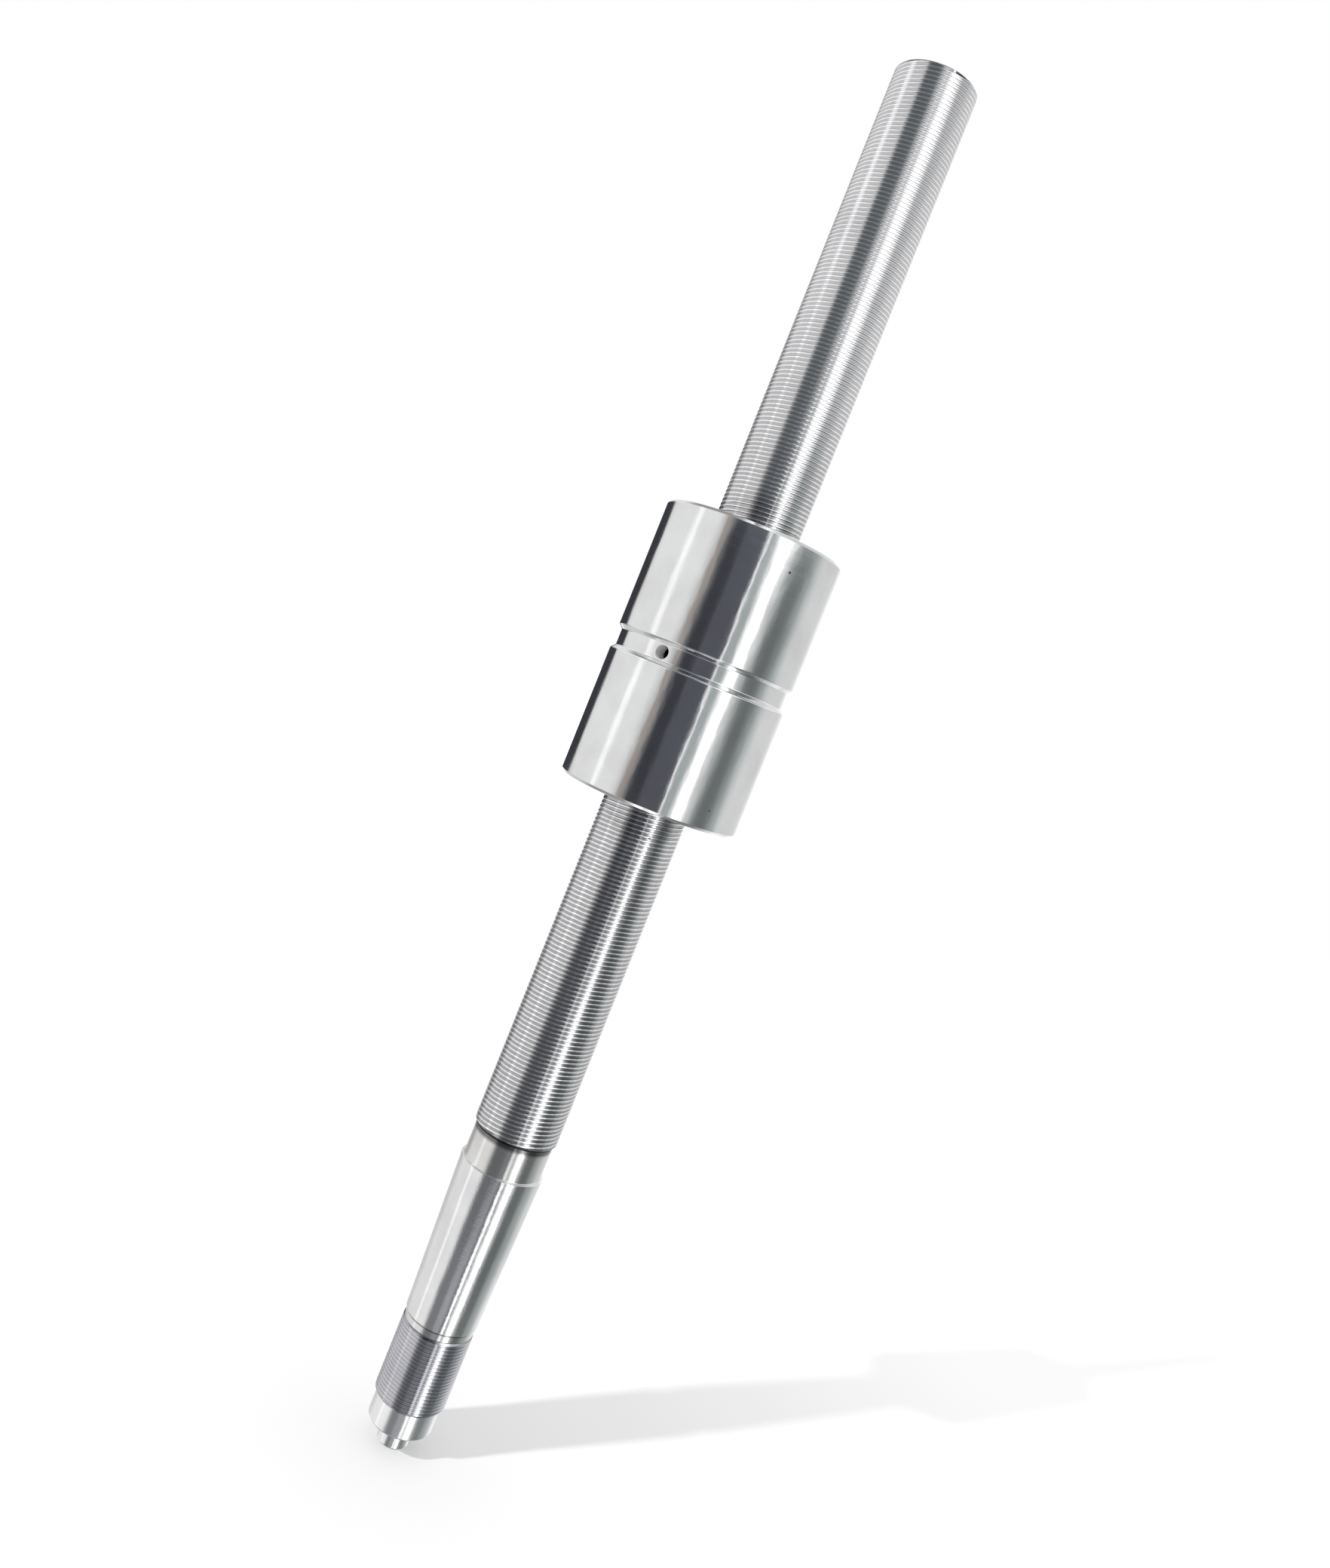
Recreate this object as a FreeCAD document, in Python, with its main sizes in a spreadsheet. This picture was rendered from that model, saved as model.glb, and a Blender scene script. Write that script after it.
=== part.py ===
import FreeCAD, Part
import os

import Sketcher

# A planetary roller screw: a threaded shaft, a cylindrical nut, and between them a cage of
# rollers that roll on the screw and in the nut. Gear teeth on the roller ends mesh with ring
# gears in the nut. The screw axis is Z, with the tip of the shaft at the origin.
# Fine threads are left plain: the screw and the nut are drawn at their thread crests and the
# rollers at their thread roots, so that the plain cylinders clear one another.

# Driving dimensions in millimetres, angles in degrees.
SIZES = {
    # shaft, from the tip up
    "tip_dia": 8.8,
    "tip_length": 5.7,
    "tip_chamfer": 0.4,
    "tip_centre_dia": 2.5,
    "pilot_dia": 18.0,
    "pilot_length": 7.2,
    "pilot_chamfer": 0.6,
    "lock_dia": 20.0,
    "lock_length": 21.6,
    "lock_chamfer": 0.8,
    "undercut_dia": 19.4,
    "undercut_length": 2.2,
    "taper_small_dia": 20.3,
    "taper_large_dia": 23.4,
    "taper_length": 44.2,
    "relief_dia": 22.0,
    "relief_length": 9.2,
    "screw_dia": 23.5,
    "thread_length": 303.4,
    "thread_chamfer": 1.0,
    "end_chamfer": 0.3,
    "end_centre_dia": 6.0,
    "centre_angle": 60.0,
    # nut; the wall is what is left outside the snap ring grooves
    "nut_wall": 2.2,
    "nut_length": 77.5,
    "nut_height": 186.2,
    "nut_chamfer": 0.8,
    "oil_groove_width": 6.7,
    "oil_groove_floor": 4.4,
    "oil_groove_depth": 1.15,
    "oil_hole_dia": 3.8,
    "oil_hole_count": 3,
    "oil_hole_angle": 2.8,
    "lip_length": 1.2,
    # snap rings
    "snap_thickness": 1.5,
    "snap_width": 2.8,
    "snap_groove_depth": 0.8,
    "snap_play": 0.05,
    "snap_opening": 9.0,
    "ear_length": 3.6,
    "ear_width": 4.2,
    "ear_hole_dia": 1.8,
    # thrust washers and carriers
    "washer_thickness": 1.0,
    "washer_width": 2.8,
    "carrier_thickness": 4.0,
    "carrier_screw_gap": 0.6,
    "counterbore_gap": 0.25,
    "axial_gap": 0.1,
    # rollers
    "roller_count": 10,
    "roller_dia": 7.2,
    "thread_gap": 0.15,
    "pivot_dia": 4.0,
    "pivot_chamfer": 0.25,
    "pivot_gap": 0.08,
    "pivot_recess": 0.4,
    # gears; the tooth depth and the widths of the spaces are in modules
    "ring_teeth": 60,
    "roller_teeth": 12,
    "roller_gear_dia": 7.0,
    "ring_gear_width": 6.0,
    "ring_gear_rim": 2.86,
    "gear_overrun": 0.4,
    "gear_tip_gap": 0.12,
    "press_gap": 0.02,
    "tooth_depth": 0.9,
    "roller_space_tip": 1.95,
    "roller_space_root": 1.25,
    "ring_space_tip": 2.1,
    "ring_space_root": 1.4,
}

doc = FreeCAD.newDocument("planetary_roller_screw")
sheet = doc.addObject("Spreadsheet::Sheet", "sizes")
for row, (alias, number) in enumerate(SIZES.items(), start=1):
    sheet.set(f"A{row}", alias)
    sheet.set(f"B{row}", str(number))
    sheet.setAlias(f"B{row}", alias)
doc.recompute()


def size(alias):
    """The expression that reads one cell of the sheet."""
    return f"sizes.{alias}"


def value(expression):
    """The number that an expression gives at the present sizes."""
    return float(sheet.evalExpression(expression))


def total(*expressions):
    """The expression for a sum."""
    return "(" + " + ".join(expressions) + ")"


def half(alias):
    """The expression for a radius, from the cell of its diameter."""
    return f"(sizes.{alias} / 2)"


# Radii and depths that follow from the driving dimensions.
ORBIT = total(half("screw_dia"), size("thread_gap"), half("roller_dia"))
BORE_RADIUS = total(ORBIT, half("roller_dia"), size("thread_gap"))
MODULE = f"(2 * {ORBIT} / (sizes.ring_teeth - sizes.roller_teeth))"
ROLLER_ROOT = f"(sizes.roller_gear_dia / 2 - sizes.tooth_depth * {MODULE})"
RING_TIP = total(ORBIT, ROLLER_ROOT, size("gear_tip_gap"))
RING_ROOT = total(ORBIT, half("roller_gear_dia"), size("gear_tip_gap"))
RING_RADIUS = total(RING_ROOT, size("ring_gear_rim"))
COUNTERBORE = total(RING_RADIUS, size("press_gap"))
FLOAT_RADIUS = f"({COUNTERBORE} - sizes.counterbore_gap)"
SNAP_GROOVE = total(COUNTERBORE, size("snap_groove_depth"))
SNAP_RADIUS = f"({SNAP_GROOVE} - sizes.snap_play)"
SNAP_INNER = f"({SNAP_RADIUS} - sizes.snap_width)"
NUT_RADIUS = total(SNAP_GROOVE, size("nut_wall"))

# Depths below either end face of the nut.
SNAP_DEPTH = size("lip_length")
WASHER_DEPTH = total(SNAP_DEPTH, size("snap_thickness"), size("axial_gap"))
CARRIER_DEPTH = total(WASHER_DEPTH, size("washer_thickness"), size("axial_gap"))
GEAR_DEPTH = total(CARRIER_DEPTH, size("carrier_thickness"), size("axial_gap"))
SHOULDER_DEPTH = total(GEAR_DEPTH, size("ring_gear_width"))
PIVOT_DEPTH = total(CARRIER_DEPTH, size("pivot_recess"))
PIVOT_LENGTH = f"({GEAR_DEPTH} - {PIVOT_DEPTH})"


def new_body(label):
    body = doc.addObject("PartDesign::Body", label)
    body.Label = label
    return body


def origin_feature(body, role):
    return next(item for item in body.Origin.OriginFeatures if item.Role == role)


def new_sketch(body, name, plane, height=None):
    """A sketch on one of the body's own origin planes, raised along its normal if asked."""
    sketch = body.newObject("Sketcher::SketchObject", name)
    sketch.AttachmentSupport = [(origin_feature(body, plane), "")]
    sketch.MapMode = "FlatFace"
    if height:
        sketch.setExpression("AttachmentOffset.Base.z", height)
    return sketch


def place_point(sketch, curve, end, across, along):
    """Tie a point of a sketch to the origin by two expressions; 0 puts it on an axis."""
    for kind, axis, expression in (("DistanceX", -2, across), ("DistanceY", -1, along)):
        if expression == "0":
            sketch.addConstraint(Sketcher.Constraint("PointOnObject", curve, end, axis))
            continue
        distance = Sketcher.Constraint(kind, -1, 1, curve, end, value(expression))
        index = sketch.addConstraint(distance)
        sketch.setExpression(f"Constraints[{index}]", expression)


def draw_outline(sketch, corners):
    """Draw a closed outline of straight lines through (across, along) expressions."""
    points = [FreeCAD.Vector(value(x), value(y), 0) for x, y in corners]
    first = sketch.GeometryCount
    count = len(points)
    for i, point in enumerate(points):
        sketch.addGeometry(Part.LineSegment(point, points[(i + 1) % count]))
    for i, (across, along) in enumerate(corners):
        following = first + (i + 1) % count
        sketch.addConstraint(Sketcher.Constraint("Coincident", first + i, 2, following, 1))
        place_point(sketch, first + i, 1, across, along)


def draw_circle(sketch, radius, across="0", along="0"):
    centre = FreeCAD.Vector(value(across), value(along), 0)
    circle = Part.Circle(centre, FreeCAD.Vector(0, 0, 1), value(radius))
    curve = sketch.addGeometry(circle)
    place_point(sketch, curve, 3, across, along)
    index = sketch.addConstraint(Sketcher.Constraint("Radius", curve, value(radius)))
    sketch.setExpression(f"Constraints[{index}]", radius)


def revolve(body, name, corners):
    """Turn a half section, given as (radius, height) expressions, about the Z axis."""
    sketch = new_sketch(body, name + "_section", "XZ_Plane")
    draw_outline(sketch, corners)
    turned = body.newObject("PartDesign::Revolution", name)
    turned.Profile = sketch
    turned.ReferenceAxis = (sketch, ["V_Axis"])
    turned.Angle = 360
    doc.recompute()


def pad(body, name, sketch, thickness):
    raised = body.newObject("PartDesign::Pad", name)
    raised.Profile = sketch
    raised.setExpression("Length", thickness)
    doc.recompute()


def pocket(body, name, sketch, depth=None):
    """Cut a sketch along its normal, right through or to a depth, and check that it cut."""
    before = body.Tip.Shape.Volume
    cut = body.newObject("PartDesign::Pocket", name)
    cut.Profile = sketch
    cut.Reversed = True
    if depth:
        cut.setExpression("Length", depth)
    else:
        cut.Type = "ThroughAll"
    doc.recompute()
    if not cut.Shape.Volume < before:
        raise RuntimeError(f"{body.Label}: {name} cut nothing")
    return cut


def repeat_round_axis(body, name, cuts, count):
    pattern = body.newObject("PartDesign::PolarPattern", name)
    pattern.Originals = cuts
    pattern.Axis = (origin_feature(body, "Z_Axis"), [""])
    pattern.Angle = 360
    pattern.setExpression("Occurrences", count)
    body.Tip = pattern
    doc.recompute()


def padded_ring(body, name, inner, outer, thickness):
    sketch = new_sketch(body, name + "_outline", "XY_Plane")
    draw_circle(sketch, outer)
    draw_circle(sketch, inner)
    pad(body, name, sketch, thickness)


def copy_of(source, label):
    """A body that repeats another one, to be placed by itself."""
    body = new_body(label)
    base = doc.addObject("PartDesign::FeatureBase", label + "_base")
    base.BaseFeature = source
    body.Group = [base]
    body.Tip = base
    return body


def chamfered_step(radius, chamfer, low, high):
    """The corners of a cylinder with a chamfered lower edge, from one height to another."""
    return [
        (f"({radius} - {chamfer})", low),
        (radius, total(low, chamfer)),
        (radius, high),
    ]


def make_screw_shaft():
    """The shaft, turned in one piece, with a centre hole in each end."""
    pilot_start = size("tip_length")
    lock_start = total(pilot_start, size("pilot_length"))
    undercut_start = total(lock_start, size("lock_length"))
    taper_start = total(undercut_start, size("undercut_length"))
    relief_start = total(taper_start, size("taper_length"))
    thread_start = total(relief_start, size("relief_length"))
    thread_end = total(thread_start, size("thread_length"))
    steepness = "tan(sizes.centre_angle / 2)"
    tip_centre_depth = f"(sizes.tip_centre_dia / 2 / {steepness})"
    end_centre_depth = f"(sizes.end_centre_dia / 2 / {steepness})"
    body = new_body("screw_shaft")
    revolve(body, "shaft", [
        ("0", tip_centre_depth),
        (half("tip_centre_dia"), "0"),
        *chamfered_step(half("tip_dia"), size("tip_chamfer"), "0", pilot_start),
        *chamfered_step(half("pilot_dia"), size("pilot_chamfer"), pilot_start, lock_start),
        *chamfered_step(half("lock_dia"), size("lock_chamfer"), lock_start, undercut_start),
        (half("undercut_dia"), undercut_start),
        (half("undercut_dia"), taper_start),
        (half("taper_small_dia"), taper_start),
        (half("taper_large_dia"), relief_start),
        (half("relief_dia"), relief_start),
        (half("relief_dia"), thread_start),
        *chamfered_step(half("screw_dia"), size("thread_chamfer"), thread_start,
                        f"({thread_end} - sizes.end_chamfer)"),
        ("(sizes.screw_dia / 2 - sizes.end_chamfer)", thread_end),
        (half("end_centre_dia"), thread_end),
        ("0", f"({thread_end} - {end_centre_depth})"),
    ])
    return body


def end_stack_corners(height):
    """The corners of the snap ring groove and the counterbore at one end of the nut.

    The function given turns a depth below that end face into a height.
    """
    groove_end = total(SNAP_DEPTH, size("snap_thickness"), size("snap_play"))
    return [
        (COUNTERBORE, height("0")),
        (COUNTERBORE, height(SNAP_DEPTH)),
        (SNAP_GROOVE, height(SNAP_DEPTH)),
        (SNAP_GROOVE, height(groove_end)),
        (COUNTERBORE, height(groove_end)),
        (COUNTERBORE, height(SHOULDER_DEPTH)),
        (BORE_RADIUS, height(SHOULDER_DEPTH)),
    ]


def make_nut_body():
    """The nut, with an oil groove round its middle and radial oil holes in the groove."""
    face = f"({NUT_RADIUS} - sizes.nut_chamfer)"
    floor = f"({NUT_RADIUS} - sizes.oil_groove_depth)"
    middle = "sizes.nut_length / 2"
    lower_end = end_stack_corners(lambda depth: depth)
    upper_end = end_stack_corners(lambda depth: f"(sizes.nut_length - {depth})")
    body = new_body("nut_body")
    revolve(body, "sleeve", [
        (face, "0"),
        (NUT_RADIUS, size("nut_chamfer")),
        (NUT_RADIUS, f"({middle} - sizes.oil_groove_width / 2)"),
        (floor, f"({middle} - sizes.oil_groove_floor / 2)"),
        (floor, f"({middle} + sizes.oil_groove_floor / 2)"),
        (NUT_RADIUS, f"({middle} + sizes.oil_groove_width / 2)"),
        (NUT_RADIUS, "(sizes.nut_length - sizes.nut_chamfer)"),
        (face, size("nut_length")),
        *upper_end,
        *reversed(lower_end),
    ])
    hole = new_sketch(body, "oil_hole_outline", "YZ_Plane")
    draw_circle(hole, half("oil_hole_dia"), along=f"({middle})")
    oil_hole = pocket(body, "oil_hole", hole)
    repeat_round_axis(body, "oil_holes", [oil_hole], size("oil_hole_count"))
    body.Placement.Rotation = FreeCAD.Rotation(FreeCAD.Vector(0, 0, 1), value(size("oil_hole_angle")))
    body.setExpression("Placement.Base.z", size("nut_height"))
    return body


def make_ring_gear(label):
    """An internal gear with straight-sided teeth, pressed into the counterbore."""
    body = new_body(label)
    padded_ring(body, "gear_blank", RING_TIP, RING_RADIUS, size("ring_gear_width"))
    space = new_sketch(body, "tooth_space_outline", "XY_Plane")
    draw_tooth_space(space, RING_TIP, "ring_space_tip", RING_ROOT, "ring_space_root")
    tooth_space = pocket(body, "tooth_space", space)
    repeat_round_axis(body, "tooth_spaces", [tooth_space], size("ring_teeth"))
    return body


def draw_tooth_space(sketch, tip, tip_width, root, root_width):
    """A tapered slot on the X axis, from as far beyond the tooth tips as the roots are below."""
    beyond = f"(2 * {tip} - {root})"
    wide = f"((2 * sizes.{tip_width} - sizes.{root_width}) * {MODULE} / 2)"
    narrow = f"(sizes.{root_width} * {MODULE} / 2)"
    draw_outline(sketch, [
        (beyond, f"(-{wide})"),
        (root, f"(-{narrow})"),
        (root, narrow),
        (beyond, wide),
    ])


def make_carrier(label):
    """A flat ring with a hole for each roller pivot."""
    body = new_body(label)
    inner = total(half("screw_dia"), size("carrier_screw_gap"))
    padded_ring(body, "plate", inner, FLOAT_RADIUS, size("carrier_thickness"))
    hole = new_sketch(body, "pivot_hole_outline", "XY_Plane")
    draw_circle(hole, total(half("pivot_dia"), size("pivot_gap")), across=ORBIT)
    pivot_hole = pocket(body, "pivot_hole", hole)
    repeat_round_axis(body, "pivot_holes", [pivot_hole], size("roller_count"))
    return body


def make_thrust_washer(label):
    body = new_body(label)
    inner = f"({FLOAT_RADIUS} - sizes.washer_width)"
    padded_ring(body, "washer", inner, FLOAT_RADIUS, size("washer_thickness"))
    return body


def make_snap_ring(label):
    """An open ring with two eared ends, each with a plier hole."""
    body = new_body(label)
    padded_ring(body, "band", SNAP_INNER, SNAP_RADIUS, size("snap_thickness"))
    ear_end = f"({SNAP_INNER} - sizes.ear_length)"
    opening = "(sizes.snap_opening / 2)"
    ear_side = f"({opening} + sizes.ear_width)"
    ear_root = f"sqrt(({SNAP_INNER} + sizes.snap_width / 2)^2 - {ear_side}^2)"
    ears = new_sketch(body, "ears_outline", "XY_Plane")
    draw_outline(ears, [
        (ear_end, f"(-{ear_side})"),
        (ear_root, f"(-{ear_side})"),
        (ear_root, ear_side),
        (ear_end, ear_side),
    ])
    pad(body, "ears", ears, size("snap_thickness"))
    gap = new_sketch(body, "opening_outline", "XY_Plane")
    draw_outline(gap, [
        (f"({ear_end} - sizes.ear_length)", f"(-{opening})"),
        (f"({SNAP_RADIUS} + sizes.snap_width)", f"(-{opening})"),
        (f"({SNAP_RADIUS} + sizes.snap_width)", opening),
        (f"({ear_end} - sizes.ear_length)", opening),
    ])
    pocket(body, "opening", gap)
    holes = new_sketch(body, "plier_holes_outline", "XY_Plane")
    hole_across = f"({ear_end} + sizes.ear_width / 2)"
    hole_along = f"({opening} + sizes.ear_width / 2)"
    draw_circle(holes, half("ear_hole_dia"), hole_across, hole_along)
    draw_circle(holes, half("ear_hole_dia"), hole_across, f"(-{hole_along})")
    pocket(body, "plier_holes", holes)
    return body


def make_roller(label):
    """A roller with a pivot and a ring of gear teeth at each end."""
    length = f"(sizes.nut_length - 2 * {PIVOT_DEPTH})"
    gear_length = total(size("ring_gear_width"), size("gear_overrun"))
    body_start = total(PIVOT_LENGTH, gear_length)
    body_end = f"({length} - {body_start})"
    upper_pivot = f"({length} - {PIVOT_LENGTH})"
    pivot, gear, thread = half("pivot_dia"), half("roller_gear_dia"), half("roller_dia")
    body = new_body(label)
    revolve(body, "blank", [
        ("0", "0"),
        *chamfered_step(pivot, size("pivot_chamfer"), "0", PIVOT_LENGTH),
        (gear, PIVOT_LENGTH),
        (gear, body_start),
        (thread, body_start),
        (thread, body_end),
        (gear, body_end),
        (gear, upper_pivot),
        (pivot, upper_pivot),
        (pivot, f"({length} - sizes.pivot_chamfer)"),
        ("(sizes.pivot_dia / 2 - sizes.pivot_chamfer)", length),
        ("0", length),
    ])
    spaces = []
    for end, low in (("lower", PIVOT_LENGTH), ("upper", body_end)):
        space = new_sketch(body, end + "_space_outline", "XY_Plane", height=low)
        draw_tooth_space(space, gear, "roller_space_tip", ROLLER_ROOT, "roller_space_root")
        spaces.append(pocket(body, end + "_space", space, gear_length))
    repeat_round_axis(body, "tooth_spaces", spaces, size("roller_teeth"))
    return body


def place_pair(lower, upper, depth, thickness):
    """Put one piece below each end face of the nut, at the same depth."""
    lower.setExpression("Placement.Base.z", total(size("nut_height"), depth))
    top = total(size("nut_height"), size("nut_length"))
    upper.setExpression("Placement.Base.z", f"({top} - {depth} - {thickness})")


def place_roller(roller, angle):
    """Put a roller at an angle round the screw, with a tooth in the nearest ring gear space."""
    teeth = value(size("ring_teeth"))
    pitch = 360 / teeth
    to_space = round(angle / pitch) * pitch - angle
    half_tooth = 180 / value(size("roller_teeth"))
    turn = angle + half_tooth + to_space * teeth / value(size("roller_teeth"))
    roller.Placement.Rotation = FreeCAD.Rotation(FreeCAD.Vector(0, 0, 1), turn)
    roller.setExpression("Placement.Base.x", f"{ORBIT} * cos({angle})")
    roller.setExpression("Placement.Base.y", f"{ORBIT} * sin({angle})")
    roller.setExpression("Placement.Base.z", total(size("nut_height"), PIVOT_DEPTH))


def make_end_pieces():
    """The pieces that sit in both ends of the nut, made once and repeated."""
    pieces = []
    for name, make, depth, thickness in (
        ("ring_gear", make_ring_gear, GEAR_DEPTH, size("ring_gear_width")),
        ("carrier", make_carrier, CARRIER_DEPTH, size("carrier_thickness")),
        ("thrust_washer", make_thrust_washer, WASHER_DEPTH, size("washer_thickness")),
        ("snap_ring", make_snap_ring, SNAP_DEPTH, size("snap_thickness")),
    ):
        lower = make(name + "_lower")
        upper = copy_of(lower, name + "_upper")
        place_pair(lower, upper, depth, thickness)
        pieces += [lower, upper]
    return pieces


def make_rollers():
    count = round(value(size("roller_count")))
    rollers = [make_roller("roller_01")]
    rollers += [copy_of(rollers[0], f"roller_{i:02d}") for i in range(2, count + 1)]
    for i, roller in enumerate(rollers):
        place_roller(roller, 360 * i / count)
    return rollers


def check_and_write(bodies):
    doc.recompute()
    for item in doc.Objects:
        if {"Invalid", "Error"} & set(item.State):
            raise RuntimeError(f"{item.Label} failed: {item.State}")
    for body in bodies:
        if body.Shape.isNull() or not body.Shape.isValid() or len(body.Shape.Solids) != 1:
            raise RuntimeError(f"{body.Label} is not one valid solid")
    os.makedirs("parts", exist_ok=True)
    for body in bodies:
        body.Shape.exportStep(f"parts/{body.Label}.step")


check_and_write([make_screw_shaft(), make_nut_body(), *make_end_pieces(), *make_rollers()])
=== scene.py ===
import math

import bmesh
import bpy
import numpy as np
from mathutils import Matrix, Vector


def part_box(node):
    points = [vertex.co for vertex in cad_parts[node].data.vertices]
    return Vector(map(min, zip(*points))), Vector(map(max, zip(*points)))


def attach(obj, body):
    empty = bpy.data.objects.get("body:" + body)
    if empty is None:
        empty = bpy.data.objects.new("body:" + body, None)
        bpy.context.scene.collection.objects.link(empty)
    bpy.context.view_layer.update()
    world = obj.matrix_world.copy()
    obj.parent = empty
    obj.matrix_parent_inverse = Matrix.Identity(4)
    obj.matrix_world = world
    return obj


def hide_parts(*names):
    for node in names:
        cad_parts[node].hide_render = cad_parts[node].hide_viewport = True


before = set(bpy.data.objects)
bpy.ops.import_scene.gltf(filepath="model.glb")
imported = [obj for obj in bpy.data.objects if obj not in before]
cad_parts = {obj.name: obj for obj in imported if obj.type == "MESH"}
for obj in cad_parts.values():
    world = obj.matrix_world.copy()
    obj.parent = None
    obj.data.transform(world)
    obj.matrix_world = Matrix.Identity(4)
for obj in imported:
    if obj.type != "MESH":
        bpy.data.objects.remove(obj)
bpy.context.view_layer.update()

# A planetary roller screw: the shaft gets its threads, the nut its rounded edges, and every
# piece its steel. Lengths are in metres, in the frame of the solids: the screw axis is Z and
# the tip of the shaft is at the origin.
MM = 0.001

# The photograph's camera: level with the nut, with the axis leaning to the right.
PHOTO_HEIGHT_PX = 2079
FOCAL_PX = 1723
CAMERA_DISTANCE = 350 * MM
CAMERA_HEIGHT = 218.8 * MM
CAMERA_PITCH = math.radians(0.62)
AXIS_LEAN = math.radians(21.89)
# How far right of and above the picture's middle the camera's own axis meets it.
OFF_CENTRE_PX = (29.9, 106.7)
SENSOR_WIDTH = 36
CLIP_START = 0.01

# The shaft, from the tip up: radii, and the height where each step ends.
TIP_RADIUS, TIP_TOP = 4.4 * MM, 5.7 * MM
PILOT_RADIUS, PILOT_TOP = 9.0 * MM, 12.9 * MM
LOCK_RADIUS, LOCK_TOP = 10.0 * MM, 34.5 * MM
UNDERCUT_RADIUS, UNDERCUT_TOP = 9.7 * MM, 36.7 * MM
TAPER_LOW_RADIUS, TAPER_HIGH_RADIUS, TAPER_TOP = 10.15 * MM, 11.7 * MM, 80.9 * MM
RELIEF_RADIUS, RELIEF_TOP = 11.0 * MM, 90.1 * MM
SCREW_RADIUS, SCREW_TOP = 11.75 * MM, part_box("screw_shaft")[1].z
TIP_CHAMFER, PILOT_CHAMFER, LOCK_CHAMFER = 0.4 * MM, 0.6 * MM, 0.8 * MM
SCREW_CHAMFER, END_CHAMFER = 1.0 * MM, 0.3 * MM
TIP_CENTRE_RADIUS, END_CENTRE_RADIUS = 1.25 * MM, 3.0 * MM
CENTRE_SLOPE = math.tan(math.radians(30))
SHAFT_END_MATERIALS = ["journal", "spigot", "undercut", "relief"]

# Threads: the screw's has several starts, the locknut's one. Both are right-handed.
SCREW_PITCH, SCREW_STARTS, SCREW_DEPTH = 1.2 * MM, 5, 0.09 * MM
LOCK_PITCH, LOCK_STARTS, LOCK_DEPTH = 1.0 * MM, 1, 0.05 * MM
# One pitch of a thread, as shares of the pitch and of the depth below the crest.
THREAD_SECTION = ((0.0, 0.0), (0.1, 0.02), (0.11, 0.06), (0.23, 0.94),
                  (0.24, 1.0), (0.76, 1.0), (0.77, 0.94), (0.89, 0.06), (0.9, 0.02))
THREAD_COLUMNS = 42

# The nut: its heights and its radius come from the frame.
NUT_LOW, NUT_HIGH = (corner.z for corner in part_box("nut_body"))
NUT_MIDDLE = (NUT_LOW + NUT_HIGH) / 2
NUT_RADIUS = min(abs(side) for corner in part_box("nut_body") for side in corner.xy)
NUT_CHAMFER = 0.8 * MM
OIL_GROOVE_WIDTH, OIL_GROOVE_FLOOR, OIL_GROOVE_DEPTH = 6.7 * MM, 4.4 * MM, 1.15 * MM
OIL_HOLE_RADIUS, OIL_HOLE_COUNT, OIL_HOLE_ANGLE = 1.9 * MM, 3, math.radians(2.8)
DRILL_SIDES, DRILL_LENGTH = 48, 10 * MM
BORE_RADIUS = 19.25 * MM
COUNTERBORE_RADIUS = 22.0 * MM
SNAP_GROOVE_RADIUS = 22.8 * MM
NUT_MATERIALS = ["nut", "hole"]
HOLE_SLOT = NUT_MATERIALS.index("hole")

# Meshes: columns round a turned piece, and steps in the arc that rounds a corner. The arc takes
# at most a share of each edge beside the corner.
LATHE_COLUMNS, ARC_STEPS, CORNER_REACH = 192, 4, 0.45
MERGE_DISTANCE = 0.001 * MM
# Stands for the square of an edge's length where the edge has none.
NO_LENGTH = 1e-18

# The marks on bare steel: scales are per metre, and what is stretched is drawn out along Z.
CLOUD_SCALE, WAVE_SCALE, CRINKLE_SCALE, GRAIN_SCALE = 90, 110, 420, 1500
WAVE_STRETCH, CRINKLE_STRETCH = (1, 1, 0.35), (1, 1, 0.25)
# How many times deeper the waves are than the crinkles.
WAVES_TO_CRINKLES = 6
# Machining lines per metre along X, Y and Z, for a turned surface and for a flat face.
TURNED_LINES, FACE_LINES = (30, 30, 9000), (4000, 4000, 200)
# The noise at which wear and roughness begin and are full, and the most wear along the lines.
CLOUD_EDGES, LINE_EDGES, ROUGH_EDGES = (0.35, 0.75), (0.3, 0.8), (0.25, 0.75)
LINE_WEAR = 0.25
SPECKS_PER_METRE, SPECK_SIZE, SPECK_COLOUR = 260, 0.09, (0.12, 0.12, 0.13)
# A thread's painted groove shade ends at a share of the depth below the crest.
GROOVE_SHADE_END, GROOVE_SHADE_COLOUR = 0.45, (0.2, 0.2, 0.21)
# The painted shade in a neck's corner is full from a share of its height below the shoulder.
CORNER_SHADE_FULL, CORNER_SHADE_SHARE, CORNER_SHADE_COLOUR = 0.3, 0.85, (0.09, 0.09, 0.095)
DRILLED_METALLIC = 0.2


def node(tree, kind, inputs=None, **settings):
    """Add a shader node, set its properties, and set or link its inputs by name or number."""
    made = tree.nodes.new(kind)
    for name, setting in settings.items():
        setattr(made, name, setting)
    for key, given in (inputs or {}).items():
        if isinstance(given, bpy.types.NodeSocket):
            tree.links.new(given, made.inputs[key])
        else:
            made.inputs[key].default_value = given
    return made


def maths(tree, operation, *values):
    """One operation on numbers or sockets."""
    return node(tree, "ShaderNodeMath", dict(enumerate(values)), operation=operation).outputs[0]


def ramp(tree, value, low, high, to_low=0.0, to_high=1.0):
    """Map a value smoothly from one range to another."""
    inputs = {"Value": value, "From Min": low, "From Max": high,
              "To Min": to_low, "To Max": to_high}
    mapped = node(tree, "ShaderNodeMapRange", inputs, interpolation_type="SMOOTHSTEP")
    return mapped.outputs["Result"]


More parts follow.
